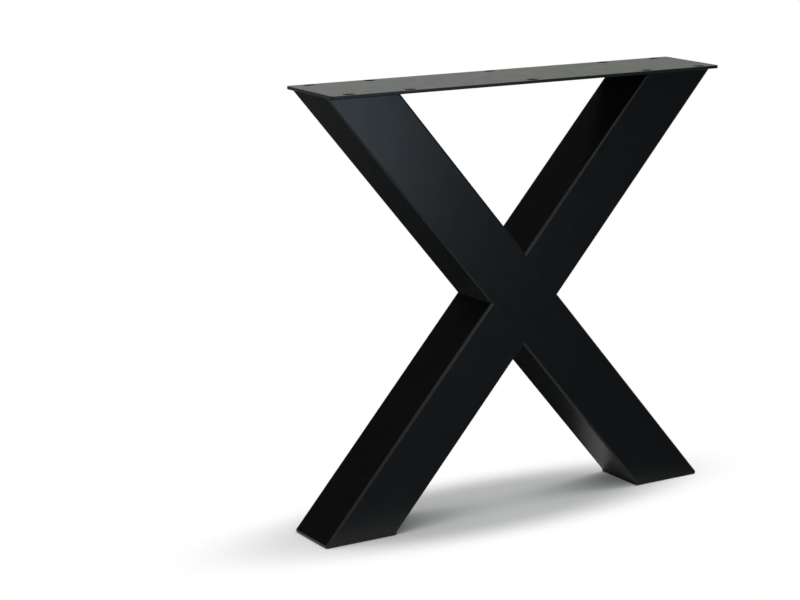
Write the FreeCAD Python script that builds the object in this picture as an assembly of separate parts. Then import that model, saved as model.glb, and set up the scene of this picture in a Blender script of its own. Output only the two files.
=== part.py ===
import FreeCAD, Part
import math
import os

# X-shaped table leg: two lines of square tube that cross, welded under a slotted top plate.
# Sizes are in millimetres. The origin is on the floor, midway between the feet.
# +X runs along the plate, +Y to the back and +Z up.

# Overall sizes
height = 720.0
foot_span = 750.0

# Square tube
tube_side = 100.0
tube_wall = 2.0
tube_corner_radius = 4.0

# Top plate, as long as the feet span, with its ends flush with the outer edges of the tubes
plate_overhang = 20.0
plate_thickness = 5.0
plate_corner_radius = 5.0
plate_edge_round = 0.6

# Screw slots, in the middle of each overhang
slot_length = 20.0
slot_width = 11.0
slot_end_distance = 35.0
slot_pitch = 110.0

# Plates that close the tubes at the floor
foot_plate_thickness = 5.0
foot_edge_round = 2.5

# Welds: fillets under the plate, and filling ground flush along the seams of the crossing
fillet_leg = 4.0
fillet_toe = 0.6
fillet_end_distance = 6.0
seam_feather = 0.4

# Places that follow from the sizes above
plate_length = foot_span
plate_width = tube_side + 2 * plate_overhang
plate_underside = height - plate_thickness
slot_row = (tube_side + plate_overhang) / 2
outer_slot = plate_length / 2 - slot_end_distance
inner_slot = outer_slot - slot_pitch
tube_inner_radius = max(tube_corner_radius - tube_wall, tube_wall / 4)

# Slope of the tubes: each line reaches from the outer edge of a foot to the far end of the plate
tube_rise = plate_underside - foot_plate_thickness
tube_reach = (foot_span + plate_length) / 2
tube_slope = math.atan2(tube_rise, tube_reach) + math.asin(tube_side / math.hypot(tube_rise, tube_reach))
tube_cut_width = tube_side / math.sin(tube_slope)

BACK = FreeCAD.Vector(0, 1, 0)
UP = FreeCAD.Vector(0, 0, 1)
FAR = 2 * (height + foot_span + plate_length)
LEVEL_TOLERANCE = 0.001


def level_outline(width, depth, radius, centre):
    """Level outline with rounded corners, round a centre point."""
    corner = FreeCAD.Vector(width / 2 - radius, depth / 2 - radius, 0)
    core = Part.makePlane(2 * corner.x, 2 * corner.y, centre - corner)
    return core.OuterWire.makeOffset2D(radius)


def level_edges(shape, level):
    """The edges of a shape that lie flat at a height."""
    flat = []
    for edge in shape.Edges:
        if max(abs(vertex.Z - level) for vertex in edge.Vertexes) < LEVEL_TOLERANCE:
            flat.append(edge)
    return flat


class TubeLine:
    """A straight line of tube from one foot to the far end of the plate.

    lean is 1 for the line that rises to the right and -1 for the one that rises to the left.
    """

    def __init__(self, lean):
        self.foot = FreeCAD.Vector(lean * (tube_cut_width - foot_span) / 2, 0, foot_plate_thickness)
        self.top = FreeCAD.Vector(lean * (plate_length - tube_cut_width) / 2, 0, plate_underside)
        self.along = (self.top - self.foot).normalize()
        self.upper_side = self.along.cross(BACK) * lean

    def bar(self, side, radius):
        """Solid bar along the line, running past the floor and the plate."""
        section = Part.Face(level_outline(side, side, radius, FreeCAD.Vector()))
        bar = section.extrude(UP * ((self.top - self.foot).Length + 2 * tube_side))
        turn = FreeCAD.Rotation(self.upper_side, BACK, self.along, "ZYX")
        bar.Placement = FreeCAD.Placement(self.foot - self.along * tube_side, turn)
        return bar

    def outside(self):
        """The tube's outer form, as a solid bar."""
        return self.bar(tube_side, tube_corner_radius)

    def tube(self):
        """Hollow tube, cut level on the foot plate and under the top plate."""
        hollow = self.bar(tube_side - 2 * tube_wall, tube_inner_radius)
        between = Part.makeBox(FAR, FAR, tube_rise, FreeCAD.Vector(-FAR / 2, -FAR / 2, foot_plate_thickness))
        return self.outside().cut(hollow).common(between)

    def beyond(self, side, depth):
        """All space past a plane that lies a depth under the upper (1) or lower (-1) side of the tube."""
        outward = self.upper_side * side
        space = Part.makeBox(FAR, FAR, FAR, FreeCAD.Vector(-FAR / 2, -FAR / 2, 0))
        turn = FreeCAD.Rotation(BACK, self.along, outward, "ZXY")
        space.Placement = FreeCAD.Placement(self.foot + outward * (tube_side / 2 - depth), turn)
        return space


def slot(x, y):
    """Cutter for a slot along the plate, with round ends."""
    radius = slot_width / 2
    reach = slot_length / 2 - radius
    ends = []
    for side in (-1, 1):
        ends.append(Part.makeCylinder(radius, plate_thickness, FreeCAD.Vector(x + side * reach, y, plate_underside)))
    corner = FreeCAD.Vector(x - reach, y - radius, plate_underside)
    middle = Part.makeBox(2 * reach, slot_width, plate_thickness, corner)
    return middle.multiFuse(ends).removeSplitter()


def make_top_plate():
    """Flat plate with rounded corners, softened edges and a row of slots in each overhang."""
    outline = level_outline(plate_length, plate_width, plate_corner_radius, UP * plate_underside)
    plate = Part.Face(outline).extrude(UP * plate_thickness)
    rims = level_edges(plate, plate_underside) + level_edges(plate, height)
    plate = plate.makeFillet(plate_edge_round, rims)
    places = [-outer_slot, -inner_slot, 0, inner_slot, outer_slot]
    return plate.cut([slot(x, y) for x in places for y in (-slot_row, slot_row)])


def make_foot_plate(line):
    """Plate with the outline of the tube's level cut, softened round its lower edge."""
    outline = line.outside().slice(UP, foot_plate_thickness)[0]
    plate = Part.Face(outline).extrude(UP * -foot_plate_thickness)
    return plate.makeFillet(foot_edge_round, level_edges(plate, 0))


def make_seam_weld(arm_line, through_line, side):
    """Filling between an arm's cut end and the rounded edges of the tube it meets, front and back."""
    groove = tube_corner_radius - seam_feather
    filling = arm_line.outside().common(through_line.beyond(side, groove))
    return filling.cut([through_line.beyond(side, 0), through_line.outside()])


def make_plate_weld(line):
    """Fillet weld under the plate, on the front, the back and the inner side of a tube."""
    drop = line.along * (fillet_leg / line.along.z)
    rings = []
    for spread, centre in ((fillet_toe, line.top - drop), (fillet_leg, line.top)):
        width = tube_cut_width + 2 * spread
        depth = tube_side + 2 * spread
        rings.append(level_outline(width, depth, tube_corner_radius + spread, centre))
    bead = Part.makeLoft(rings, True, True).cut(line.outside())
    run = plate_length - 2 * fillet_end_distance
    return bead.common(Part.makeBox(run, FAR, FAR, FreeCAD.Vector(-run / 2, -FAR / 2, 0)))


through = TubeLine(-1)
crossing = TubeLine(1)

nodes = {
    "top_plate": make_top_plate(),
    "through_tube": through.tube(),
    "upper_arm": crossing.tube().common(through.beyond(1, 0)),
    "lower_arm": crossing.tube().common(through.beyond(-1, 0)),
    "left_foot_plate": make_foot_plate(crossing),
    "right_foot_plate": make_foot_plate(through),
    "upper_seam_weld": make_seam_weld(crossing, through, 1),
    "lower_seam_weld": make_seam_weld(crossing, through, -1),
    "left_plate_weld": make_plate_weld(through),
    "right_plate_weld": make_plate_weld(crossing),
}

os.makedirs("parts", exist_ok=True)
for name, shape in nodes.items():
    shape.exportStep("parts/" + name + ".step")
    print(name, "solids:", len(shape.Solids), "valid:", shape.isValid(), "volume:", round(shape.Volume, 1))
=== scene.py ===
import math
import random

import bmesh
import bpy
from bpy.props import FloatProperty, FloatVectorProperty, IntProperty, PointerProperty
from mathutils import Matrix, Vector


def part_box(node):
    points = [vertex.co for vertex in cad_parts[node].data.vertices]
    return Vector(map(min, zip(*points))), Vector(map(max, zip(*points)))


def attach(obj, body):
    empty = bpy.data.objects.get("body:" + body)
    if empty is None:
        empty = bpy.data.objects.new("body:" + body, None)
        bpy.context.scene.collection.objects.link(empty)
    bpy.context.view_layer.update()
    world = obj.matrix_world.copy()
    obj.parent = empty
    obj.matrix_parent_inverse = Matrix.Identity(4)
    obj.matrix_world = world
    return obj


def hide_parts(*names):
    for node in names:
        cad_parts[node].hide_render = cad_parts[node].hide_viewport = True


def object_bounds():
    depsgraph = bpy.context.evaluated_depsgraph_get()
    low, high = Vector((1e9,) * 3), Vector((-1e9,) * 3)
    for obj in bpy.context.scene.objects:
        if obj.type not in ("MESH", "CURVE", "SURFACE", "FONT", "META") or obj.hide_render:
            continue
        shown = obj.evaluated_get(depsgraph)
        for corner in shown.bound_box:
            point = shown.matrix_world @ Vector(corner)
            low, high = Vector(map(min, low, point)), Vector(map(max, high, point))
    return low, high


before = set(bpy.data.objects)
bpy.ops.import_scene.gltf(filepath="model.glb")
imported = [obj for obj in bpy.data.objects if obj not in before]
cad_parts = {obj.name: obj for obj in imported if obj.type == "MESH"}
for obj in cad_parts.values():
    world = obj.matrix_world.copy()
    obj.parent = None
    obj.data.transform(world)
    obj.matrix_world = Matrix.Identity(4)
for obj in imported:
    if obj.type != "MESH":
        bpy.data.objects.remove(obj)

bl_info = {
    "name": "X Table Leg",
    "version": (1, 0, 0),
    "blender": (4, 5, 0),
    "location": "3D View > Sidebar > Table Leg",
    "description": "Dresses a welded x-shaped table leg with its powder coat and weld beads, and sets its stage",
    "category": "Object",
}

CAD_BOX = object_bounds()
BODY = "root"
COAT_NAME = "satin_black_coat"

# One ripple of a bead: shares of its length that rise, stay full and fall, and its size where it starts to fall
RISE, FULL, FALL = 0.35, 0.35, 0.30
FULL_TAPER = 0.985

# Fineness of the modelled pieces
FACE_STEPS = 6
CORNER_STEPS = 8
FLOOR_SIDES = 96
MERGE_DISTANCE = 1e-6
SMOOTH_ANGLE = math.radians(40)

SENSOR_WIDTH = 36.0


# Settings

class CoatSettings(bpy.types.PropertyGroup):
    """Satin powder coat over the whole leg."""

    colour: FloatVectorProperty(
        name="Colour", description="Colour of the coat", subtype="COLOR",
        size=3, min=0.0, max=1.0, default=(0.0020, 0.0022, 0.0025))
    thin_colour: FloatVectorProperty(
        name="Thin colour", description="Colour where the coat lies thinner", subtype="COLOR",
        size=3, min=0.0, max=1.0, default=(0.0028, 0.0030, 0.0034))
    refraction: FloatProperty(
        name="Refraction", description="Index of refraction of the coat", min=1.0, max=3.0, default=1.45)
    roughness_low: FloatProperty(
        name="Smoothest", description="Roughness where the coat flowed out best",
        subtype="FACTOR", min=0.0, max=1.0, default=0.27)
    roughness_high: FloatProperty(
        name="Roughest", description="Roughness where the coat is driest",
        subtype="FACTOR", min=0.0, max=1.0, default=0.31)
    roughness_edge: FloatProperty(
        name="Cut edges", description="Roughness of the thin coat on the plate's cut edges",
        subtype="FACTOR", min=0.0, max=1.0, default=0.43)
    cloud_size: FloatProperty(
        name="Cloud size", description="Width of the patches in which the coat's tone varies",
        unit="LENGTH", min=0.005, default=0.120)
    patch_size: FloatProperty(
        name="Patch size", description="Width of the patches in which the coat's roughness varies",
        unit="LENGTH", min=0.001, default=0.020)
    peel_size: FloatProperty(
        name="Peel size", description="Width of the dimples of the orange peel",
        unit="LENGTH", min=0.0002, default=0.0022)
    peel_depth: FloatProperty(
        name="Peel depth", description="Depth of the dimples of the orange peel",
        unit="LENGTH", min=0.0, default=0.000012)
    grain_size: FloatProperty(
        name="Grain size", description="Width of the fine grain of the powder",
        unit="LENGTH", min=0.0001, default=0.0005)
    grain_depth: FloatProperty(
        name="Grain depth", description="Depth of the fine grain of the powder",
        unit="LENGTH", min=0.0, default=0.000003)
    wave_size: FloatProperty(
        name="Wave size", description="Width of the slight waves in the tube walls",
        unit="LENGTH", min=0.01, default=0.090)
    wave_depth: FloatProperty(
        name="Wave depth", description="Depth of the slight waves in the tube walls",
        unit="LENGTH", min=0.0, default=0.00001)


class BeadSettings(bpy.types.PropertyGroup):
    """Fillet welds under the plate."""

    corner_radius: FloatProperty(
        name="Tube corner", description="Radius of the tube's rounded edges",
        unit="LENGTH", min=0.0005, default=0.004)
    sink: FloatProperty(
        name="Sink", description="How far the bead's flat sides lie inside the metal",
        unit="LENGTH", min=0.0, default=0.0002)
    face_share: FloatProperty(
        name="Face share", description="Share of the bead's sides that its rounded face takes off",
        subtype="FACTOR", min=0.1, max=0.99, default=0.96)
    face_roundness: FloatProperty(
        name="Face roundness", description="Form of the bead's face, from 0.25 for flat to 0.5 for round",
        subtype="FACTOR", min=0.0, max=1.0, default=0.38)
    end_size: FloatProperty(
        name="End size", description="Size of the bead's ends, as a share of the bead",
        subtype="FACTOR", min=0.1, max=1.0, default=0.5)
    ripple_pitch: FloatProperty(
        name="Ripple pitch", description="Length of one ripple of the bead",
        unit="LENGTH", min=0.001, default=0.0036)
    ripple_depth: FloatProperty(
        name="Ripple depth", description="Depth of the crease between ripples, as a share of the bead",
        subtype="FACTOR", min=0.0, max=0.5, default=0.09)
    unevenness: FloatProperty(
        name="Unevenness", description="How much the ripples differ in size",
        subtype="FACTOR", min=0.0, max=0.3, default=0.03)
    seed: IntProperty(
        name="Seed", description="Start of the row of random sizes", min=0, default=7)


class StageSettings(bpy.types.PropertyGroup):
    """Floor, surroundings, light and camera."""

    floor_colour: FloatVectorProperty(
        name="Floor colour", description="Colour of the pale floor", subtype="COLOR",
        size=3, min=0.0, max=1.0, default=(0.85, 0.85, 0.84))
    floor_length: FloatProperty(
        name="Floor length", description="Half the length of the floor along the leg",
        unit="LENGTH", min=0.1, default=0.62)
    floor_depth: FloatProperty(
        name="Floor depth", description="Half the depth of the floor across the leg",
        unit="LENGTH", min=0.1, default=0.18)
    floor_fade: FloatProperty(
        name="Floor fade", description="Share of the floor over which its rim fades out",
        subtype="FACTOR", min=0.0, max=1.0, default=0.65)
    floor_shift: FloatProperty(
        name="Floor shift", description="How far the middle of the floor lies to the right of the leg's middle",
        unit="LENGTH", default=-0.06)
    backdrop_colour: FloatVectorProperty(
        name="Backdrop colour", description="Colour of the white backdrop behind the leg", subtype="COLOR",
        size=3, min=0.0, max=1.0, default=(1.0, 1.0, 1.0))
    upper_colour: FloatVectorProperty(
        name="Upper backdrop", description="Colour of the upper part of the backdrop", subtype="COLOR",
        size=3, min=0.0, max=1.0, default=(0.52, 0.55, 0.49))
    ceiling_colour: FloatVectorProperty(
        name="Ceiling colour", description="Colour of the white ceiling", subtype="COLOR",
        size=3, min=0.0, max=1.0, default=(1.0, 1.0, 1.0))
    room_colour: FloatVectorProperty(
        name="Room colour", description="Colour of the pale room round the leg", subtype="COLOR",
        size=3, min=0.0, max=1.0, default=(0.45, 0.47, 0.49))
    front_colour: FloatVectorProperty(
        name="Front colour", description="Colour of the grey side of the room, in front on the right",
        subtype="COLOR", size=3, min=0.0, max=1.0, default=(0.064, 0.072, 0.080))
    dim_colour: FloatVectorProperty(
        name="Dim colour", description="Colour of the dim parts of the room, high and low behind the leg",
        subtype="COLOR", size=3, min=0.0, max=1.0, default=(0.012, 0.013, 0.014))
    softbox_power: FloatProperty(
        name="Softbox power", description="Power of the soft light overhead", unit="POWER", min=0.0, default=22.0)
    softbox_height: FloatProperty(
        name="Softbox height", description="Height of the soft light above the floor",
        unit="LENGTH", min=1.0, default=2.6)
    softbox_size: FloatProperty(
        name="Softbox size", description="Side of the soft light overhead", unit="LENGTH", min=0.1, default=1.5)
    panel_power: FloatProperty(
        name="Panel power", description="Power of the low panel in front", unit="POWER", min=0.0, default=2.5)
    panel_place: FloatVectorProperty(
        name="Panel place", description="Where the low panel stands", subtype="TRANSLATION", unit="LENGTH",
        size=3, default=(0.28, -1.45, 0.46))
    panel_target: FloatVectorProperty(
        name="Panel target", description="The point that the low panel faces", subtype="TRANSLATION", unit="LENGTH",
        size=3, default=(-0.2, -0.05, 0.6))
    panel_size: FloatProperty(
        name="Panel size", description="Side of the low panel", unit="LENGTH", min=0.1, default=0.6)
    panel_colour: FloatVectorProperty(
        name="Panel colour", description="Colour of the low panel's cool light", subtype="COLOR",
        size=3, min=0.0, max=1.0, default=(0.70, 0.86, 1.0))
    camera_place: FloatVectorProperty(
        name="Camera place", description="Where the camera stands", subtype="TRANSLATION", unit="LENGTH",
        size=3, default=(-2.0346, -2.8927, 1.1780))
    camera_heading: FloatProperty(
        name="Heading", description="Turn of the camera to the right of straight ahead",
        unit="ROTATION", default=math.radians(32.259))
    camera_tilt: FloatProperty(
        name="Tilt", description="How far the camera looks down", unit="ROTATION", default=math.radians(13.228))
    camera_roll: FloatProperty(
        name="Roll", description="Turn of the camera about its line of sight",
        unit="ROTATION", default=math.radians(0.268))
    camera_lens: FloatProperty(
        name="Lens", description="Focal length on a 36 mm sensor", unit="CAMERA", min=1.0, default=99.157)


# Shader nodes

def node_tree_of(owner):
    """An empty node tree for a material or world."""
    owner.use_nodes = True
    owner.node_tree.nodes.clear()
    return owner.node_tree


def parts_of(tree, vector):
    """The X, Y and Z parts of a vector."""
    parts = tree.nodes.new("ShaderNodeSeparateXYZ")
    tree.links.new(vector, parts.inputs["Vector"])
    return parts.outputs["X"], parts.outputs["Y"], parts.outputs["Z"]


def fade(tree, value, start, end, form="LINEAR"):
    """A share that grows from 0 to 1 while a value goes from its start to its end."""
    ramp = tree.nodes.new("ShaderNodeMapRange")
    ramp.interpolation_type = form
    ramp.inputs["From Min"].default_value = start
    ramp.inputs["From Max"].default_value = end
    tree.links.new(value, ramp.inputs["Value"])
    return ramp.outputs["Result"]


def product(tree, one, other):
    """Two values multiplied."""
    times = tree.nodes.new("ShaderNodeMath")
    times.operation = "MULTIPLY"
    tree.links.new(one, times.inputs[0])
    tree.links.new(other, times.inputs[1])
    return times.outputs["Value"]


def blend(tree, share, below, above):
    """A colour with a share of another one over it. Each is a plain colour or comes from a node."""
    mix = tree.nodes.new("ShaderNodeMix")
    mix.data_type = "RGBA"
    tree.links.new(share, mix.inputs["Factor"])
    for colour, socket in ((below, mix.inputs["A"]), (above, mix.inputs["B"])):
        if isinstance(colour, bpy.types.NodeSocket):
            tree.links.new(colour, socket)
        else:
            socket.default_value = (*colour, 1.0)
    return mix.outputs["Result"]


def noise(tree, place, size, detail):
    """Cloudy noise whose patches have a given width."""
    texture = tree.nodes.new("ShaderNodeTexNoise")
    texture.inputs["Scale"].default_value = 1.0 / size
    texture.inputs["Detail"].default_value = detail
    tree.links.new(place, texture.inputs["Vector"])
    return texture.outputs["Fac"]


# Materials

def cut_edges(tree, place):
    """A share that is 1 on the plate's upright cut edges, in its slots too, and 0 elsewhere."""
    normal = tree.nodes.new("ShaderNodeNewGeometry").outputs["Normal"]
    lean = tree.nodes.new("ShaderNodeMath")
    lean.operation = "ABSOLUTE"
    tree.links.new(parts_of(tree, normal)[2], lean.inputs[0])
    low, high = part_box("top_plate")
    upright = fade(tree, lean.outputs["Value"], 0.9, 0.5)
    on_plate = fade(tree, parts_of(tree, place)[2], low.z, low.z + (high.z - low.z) / 10)
    return product(tree, upright, on_plate)


def coat_roughness(tree, place, settings):
    """Roughness that varies in small patches and is higher on the plate's cut edges."""
    gloss = tree.nodes.new("ShaderNodeMapRange")
    gloss.inputs["From Min"].default_value = 0.3
    gloss.inputs["From Max"].default_value = 0.7
    gloss.inputs["To Min"].default_value = settings.roughness_low
    gloss.inputs["To Max"].default_value = settings.roughness_high
    tree.links.new(noise(tree, place, settings.patch_size, 4.0), gloss.inputs["Value"])
    dryness = tree.nodes.new("ShaderNodeMix")
    tree.links.new(cut_edges(tree, place), dryness.inputs["Factor"])
    tree.links.new(gloss.outputs["Result"], dryness.inputs["A"])
    dryness.inputs["B"].default_value = settings.roughness_edge
    return dryness.outputs["Result"]


def coat_relief(tree, place, settings):
    """Bumps on bumps: slight waves in the walls, orange peel and fine grain."""
    reliefs = (
        (settings.wave_size, settings.wave_depth, 1.0),
        (settings.peel_size, settings.peel_depth, 2.0),
        (settings.grain_size, settings.grain_depth, 2.0),
    )
    normal = None
    for size, depth, detail in reliefs:
        bump = tree.nodes.new("ShaderNodeBump")
        bump.inputs["Distance"].default_value = depth
        tree.links.new(noise(tree, place, size, detail), bump.inputs["Height"])
        if normal is not None:
            tree.links.new(normal, bump.inputs["Normal"])
        normal = bump.outputs["Normal"]
    return normal


def make_coat(settings):
    """Satin black powder coat: slow clouds in its tone, orange peel, fine grain and slight waves."""
    material = bpy.data.materials.new(COAT_NAME)
    tree = node_tree_of(material)
    place = tree.nodes.new("ShaderNodeTexCoord").outputs["Object"]
    tone = blend(tree, noise(tree, place, settings.cloud_size, 3.0), settings.colour, settings.thin_colour)
    shader = tree.nodes.new("ShaderNodeBsdfPrincipled")
    shader.inputs["IOR"].default_value = settings.refraction
    tree.links.new(tone, shader.inputs["Base Color"])
    tree.links.new(coat_roughness(tree, place, settings), shader.inputs["Roughness"])
    tree.links.new(coat_relief(tree, place, settings), shader.inputs["Normal"])
    output = tree.nodes.new("ShaderNodeOutputMaterial")
    tree.links.new(shader.outputs["BSDF"], output.inputs["Surface"])
    return material


def make_floor_finish(settings):
    """Plain pale floor that fades out softly towards its rim."""
    material = bpy.data.materials.new("pale_floor")
    tree = node_tree_of(material)
    place = tree.nodes.new("ShaderNodeTexCoord").outputs["Object"]
    oval = tree.nodes.new("ShaderNodeMapping")
    oval.vector_type = "TEXTURE"
    oval.inputs["Location"].default_value = (settings.floor_shift, 0.0, 0.0)
    oval.inputs["Scale"].default_value = (settings.floor_length, settings.floor_depth, 1.0)
    tree.links.new(place, oval.inputs["Vector"])
    reach = tree.nodes.new("ShaderNodeVectorMath")
    reach.operation = "LENGTH"
    tree.links.new(oval.outputs["Vector"], reach.inputs[0])
    rim = fade(tree, reach.outputs["Value"], 1.0 - settings.floor_fade, 1.0, "SMOOTHERSTEP")
    floor = tree.nodes.new("ShaderNodeBsdfDiffuse")
    floor.inputs["Color"].default_value = (*settings.floor_colour, 1.0)
    clear = tree.nodes.new("ShaderNodeBsdfTransparent")
    mix = tree.nodes.new("ShaderNodeMixShader")
    output = tree.nodes.new("ShaderNodeOutputMaterial")
    tree.links.new(rim, mix.inputs["Fac"])
    tree.links.new(floor.outputs["BSDF"], mix.inputs[1])
    tree.links.new(clear.outputs["BSDF"], mix.inputs[2])
    tree.links.new(mix.outputs["Shader"], output.inputs["Surface"])
    return material


def make_surroundings(settings):
    """World that the black faces mirror: a white backdrop behind, a white ceiling and a room with darker parts.

    Each part is bounded by fades along the direction's own X, Y and Z: right, back and up.
    """
    world = bpy.data.worlds.new("studio")
    tree = node_tree_of(world)
    direction = tree.nodes.new("ShaderNodeTexCoord").outputs["Generated"]
    right, back, up = parts_of(tree, direction)
    slant = tree.nodes.new("ShaderNodeVectorMath")
    slant.operation = "DOT_PRODUCT"
    slant.inputs[1].default_value = (0.5, 0.0, 1.0)
    tree.links.new(direction, slant.inputs[0])

    def part(*bounds):
        shares = [fade(tree, value, start, end, "SMOOTHSTEP") for value, start, end in bounds]
        share = shares[0]
        for other in shares[1:]:
            share = product(tree, share, other)
        return share

    backdrop = part((right, 0.12, 0.32), (back, -0.35, 0.05), (up, 0.36, 0.24), (up, -0.44, -0.37))
    upper_backdrop = part((slant.outputs["Value"], 0.29, 0.46))
    front = part((right, 0.10, 0.60), (back, 0.05, -0.35))
    low_behind = part((right, -0.60, -0.30), (right, 0.60, 0.36), (up, -0.36, -0.43), (back, 0.25, 0.65))
    high_behind = part((up, 0.02, 0.16), (back, -0.40, 0.10))
    ceiling = part((up, 0.62, 0.80))

    screen = blend(tree, upper_backdrop, settings.backdrop_colour, settings.upper_colour)
    room = blend(tree, front, settings.room_colour, settings.front_colour)
    room = blend(tree, low_behind, room, settings.dim_colour)
    room = blend(tree, high_behind, room, settings.dim_colour)
    room = blend(tree, ceiling, room, settings.ceiling_colour)
    background = tree.nodes.new("ShaderNodeBackground")
    output = tree.nodes.new("ShaderNodeOutputWorld")
    tree.links.new(blend(tree, backdrop, room, screen), background.inputs["Color"])
    tree.links.new(background.outputs["Background"], output.inputs["Surface"])
    return world


# Modelling helpers

def deselect_all():
    """Leaves edit mode with nothing selected."""
    if bpy.context.object and bpy.context.object.mode != "OBJECT":
        bpy.ops.object.mode_set(mode="OBJECT")
    bpy.ops.object.select_all(action="DESELECT")


def select_vertices(piece, wanted):
    """In edit mode, selects the vertices whose place passes a test."""
    mesh = bmesh.from_edit_mesh(piece.data)
    for vertex in mesh.verts:
        vertex.select_set(wanted(vertex.co))
    mesh.select_flush_mode()
    bmesh.update_edit_mesh(piece.data)


# Operators

class TABLELEG_OT_coat_frame(bpy.types.Operator):
    """Gives the steel pieces of the leg their powder coat"""

    bl_idname = "table_leg.coat_frame"
    bl_label = "Coat the Frame"

    def execute(self, context):
        coat = make_coat(context.scene.leg_coat)
        for name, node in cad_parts.items():
            if not node.material_slots:
                raise RuntimeError(name + " has no place for the coat")
            for place in node.material_slots:
                place.material = coat
        return {"FINISHED"}


class TABLELEG_OT_lay_beads(bpy.types.Operator):
    """Lays the rippled weld beads under the plate, round three sides of each tube"""

    bl_idname = "table_leg.lay_beads"
    bl_label = "Lay the Weld Beads"

    def execute(self, context):
        if COAT_NAME not in bpy.data.materials:
            raise RuntimeError("The frame is coated before the beads are laid")
        settings = context.scene.leg_beads
        chance = random.Random(settings.seed)
        for side, node in ((-1, "left_plate_weld"), (1, "right_plate_weld")):
            bead = self.lay_bead(settings, chance, side, node)
            bead.name = node.replace("weld", "bead")
            bead.data.materials.append(bpy.data.materials[COAT_NAME])
            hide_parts(node)
            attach(bead, BODY)
        return {"FINISHED"}

    def lay_bead(self, settings, chance, side, node):
        """Lays a bead at the left end, leans it with the tube and mirrors it where it belongs on the right."""
        low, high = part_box(node)
        tube_low, tube_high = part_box("through_tube")
        foot_low, foot_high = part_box("right_foot_plate")
        tube_cut_width = foot_high.x - foot_low.x
        leg = high.z - low.z
        tube_face = high.y - leg
        inner_face = tube_low.x + tube_cut_width

        # Places along the bead's root: its two ends, and the centres of the tube's rounded edges
        end_x = -max(abs(low.x), abs(high.x))
        corner_x = inner_face - settings.corner_radius
        corner_y = tube_face - settings.corner_radius
        root_x = inner_face - settings.sink
        root_y = tube_face - settings.sink

        def under_plate(x, y):
            return Vector((x, y, high.z + settings.sink))

        self.draw_section(settings, leg + settings.sink, under_plate(end_x, -root_y))
        size = settings.end_size
        size = self.run(settings, chance, under_plate(end_x, -root_y), under_plate(corner_x, -root_y), size)
        self.turn_corner(under_plate(corner_x, -corner_y))
        size = self.run(settings, chance, under_plate(root_x, -corner_y), under_plate(root_x, corner_y), size)
        self.turn_corner(under_plate(corner_x, corner_y))
        size = self.run(settings, chance, under_plate(corner_x, root_y), under_plate(end_x, root_y), size)
        bpy.ops.transform.resize(value=[settings.end_size / size] * 3, center_override=under_plate(end_x, root_y))
        bpy.ops.mesh.select_all(action="SELECT")
        bpy.ops.mesh.remove_doubles(threshold=MERGE_DISTANCE)
        bpy.ops.object.mode_set(mode="OBJECT")

        bead = bpy.context.object
        run_per_drop = (tube_high.x - tube_low.x - tube_cut_width) / (tube_high.z - tube_low.z)
        lean = Matrix.Identity(4)
        lean[0][2] = -run_per_drop
        lean[0][3] = run_per_drop * high.z
        bead.data.transform(Matrix.Diagonal((-side, 1.0, 1.0, 1.0)) @ lean)
        bpy.ops.object.mode_set(mode="EDIT")
        bpy.ops.mesh.normals_make_consistent(inside=False)
        bpy.ops.object.mode_set(mode="OBJECT")
        bpy.ops.object.shade_smooth_by_angle(angle=SMOOTH_ANGLE)
        return bead

    def draw_section(self, settings, full_leg, root):
        """Draws the section of the bead's end: a square at the root with its outer corner rounded off."""
        deselect_all()
        leg = full_leg * settings.end_size
        centre = root + Vector((0.0, -leg / 2, -leg / 2))
        bpy.ops.mesh.primitive_plane_add(size=leg, location=centre, rotation=(0.0, math.pi / 2, 0.0))
        bpy.ops.object.transform_apply(location=True, rotation=True, scale=True)
        bpy.ops.object.mode_set(mode="EDIT")
        bpy.ops.mesh.select_mode(type="VERT")
        select_vertices(bpy.context.object, lambda place: place.y < centre.y and place.z < centre.z)
        bpy.ops.mesh.bevel(
            affect="VERTICES", offset=leg * settings.face_share, segments=FACE_STEPS, profile=settings.face_roundness)
        bpy.ops.mesh.select_mode(type="FACE")
        bpy.ops.mesh.select_all(action="SELECT")

    def run(self, settings, chance, start, end, size):
        """Extrudes the section along a straight run in ripples, and gives back its last size."""
        way = end - start
        count = round(way.length / settings.ripple_pitch)
        spread = [0.0 if abs(part) > MERGE_DISTANCE else 1.0 for part in way]
        place = start.copy()
        for ripple in range(count):
            crest = 1.0 + chance.uniform(-1.0, 0.0) * settings.unevenness
            crease = crest - settings.ripple_depth
            for share, wanted in ((RISE, crest), (FULL, crest * FULL_TAPER), (FALL, crease)):
                step = way / count * share
                place += step
                bpy.ops.mesh.extrude_region_move(TRANSFORM_OT_translate={"value": step})
                change = wanted / size
                value = [1.0 + kept * (change - 1.0) for kept in spread]
                bpy.ops.transform.resize(value=value, center_override=place)
                size = wanted
        return size

    def turn_corner(self, centre):
        """Spins the section round a corner of the tube."""
        bpy.ops.mesh.spin(steps=CORNER_STEPS, angle=-math.pi / 2, center=centre, axis=(0.0, 0.0, 1.0))


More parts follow.
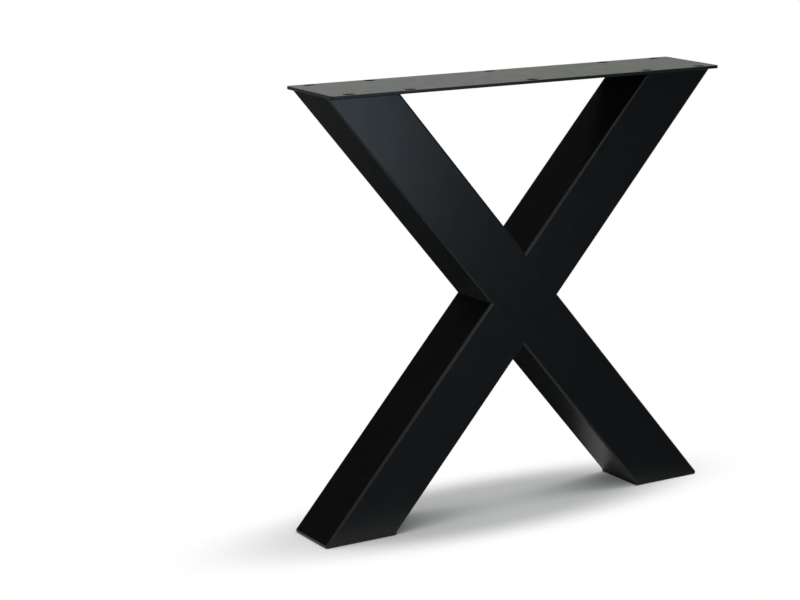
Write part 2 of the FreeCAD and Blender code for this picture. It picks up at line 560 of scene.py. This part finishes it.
class TABLELEG_OT_set_stage(bpy.types.Operator):
    """Sets the floor, the surroundings, the lights and the camera"""

    bl_idname = "table_leg.set_stage"
    bl_label = "Set the Stage"

    def execute(self, context):
        settings = context.scene.leg_stage
        self.lay_floor(settings)
        self.hang_lights(settings)
        self.place_camera(context, settings)
        context.scene.world = make_surroundings(settings)
        context.scene.view_settings.view_transform = "Standard"
        return {"FINISHED"}

    def lay_floor(self, settings):
        """Lays a round floor that holds the pale oval."""
        deselect_all()
        radius = settings.floor_length + abs(settings.floor_shift)
        bpy.ops.mesh.primitive_circle_add(vertices=FLOOR_SIDES, radius=radius, fill_type="NGON")
        floor = bpy.context.object
        floor.name = "floor"
        floor.data.materials.append(make_floor_finish(settings))

    def hang_lights(self, settings):
        """Hangs the softbox over the leg and stands the panel in front of it."""
        middle = (CAD_BOX[0] + CAD_BOX[1]) / 2
        overhead = Vector((0.0, 0.0, settings.softbox_height))
        self.add_light("softbox", overhead, middle, settings.softbox_size, settings.softbox_power)
        panel = self.add_light(
            "panel", Vector(settings.panel_place), Vector(settings.panel_target),
            settings.panel_size, settings.panel_power)
        panel.data.color = settings.panel_colour

    def add_light(self, name, place, target, side, power):
        """Adds a square light that faces a target."""
        bpy.ops.object.light_add(type="AREA", location=place)
        light = bpy.context.object
        light.name = name
        light.rotation_euler = (target - place).to_track_quat("-Z", "Y").to_euler()
        light.data.shape = "SQUARE"
        light.data.size = side
        light.data.energy = power
        light.visible_camera = False
        return light

    def place_camera(self, context, settings):
        """Stands the camera where the leg's photographed side faces it."""
        bpy.ops.object.camera_add()
        camera = bpy.context.object
        camera.name = "camera"
        camera.data.sensor_width = SENSOR_WIDTH
        camera.data.lens = settings.camera_lens
        heading = Matrix.Rotation(-settings.camera_heading, 4, "Z")
        tilt = Matrix.Rotation(math.pi / 2 - settings.camera_tilt, 4, "X")
        roll = Matrix.Rotation(settings.camera_roll, 4, "Z")
        camera.matrix_world = Matrix.Translation(settings.camera_place) @ heading @ tilt @ roll
        context.scene.camera = camera


class TABLELEG_PT_tools(bpy.types.Panel):
    """Lists the steps that dress the leg"""

    bl_idname = "TABLELEG_PT_tools"
    bl_label = "Table Leg"
    bl_space_type = "VIEW_3D"
    bl_region_type = "UI"
    bl_category = "Table Leg"

    def draw(self, context):
        for operator in STEPS:
            self.layout.operator(operator.bl_idname)


STEPS = (TABLELEG_OT_coat_frame, TABLELEG_OT_lay_beads, TABLELEG_OT_set_stage)
CLASSES = (CoatSettings, BeadSettings, StageSettings, *STEPS, TABLELEG_PT_tools)


def register():
    for each in CLASSES:
        bpy.utils.register_class(each)
    bpy.types.Scene.leg_coat = PointerProperty(type=CoatSettings)
    bpy.types.Scene.leg_beads = PointerProperty(type=BeadSettings)
    bpy.types.Scene.leg_stage = PointerProperty(type=StageSettings)


def unregister():
    del bpy.types.Scene.leg_stage
    del bpy.types.Scene.leg_beads
    del bpy.types.Scene.leg_coat
    for each in reversed(CLASSES):
        bpy.utils.unregister_class(each)


def main():
    register()
    bpy.ops.table_leg.coat_frame()
    bpy.ops.table_leg.lay_beads()
    bpy.ops.table_leg.set_stage()


if __name__ == "__main__":
    main()
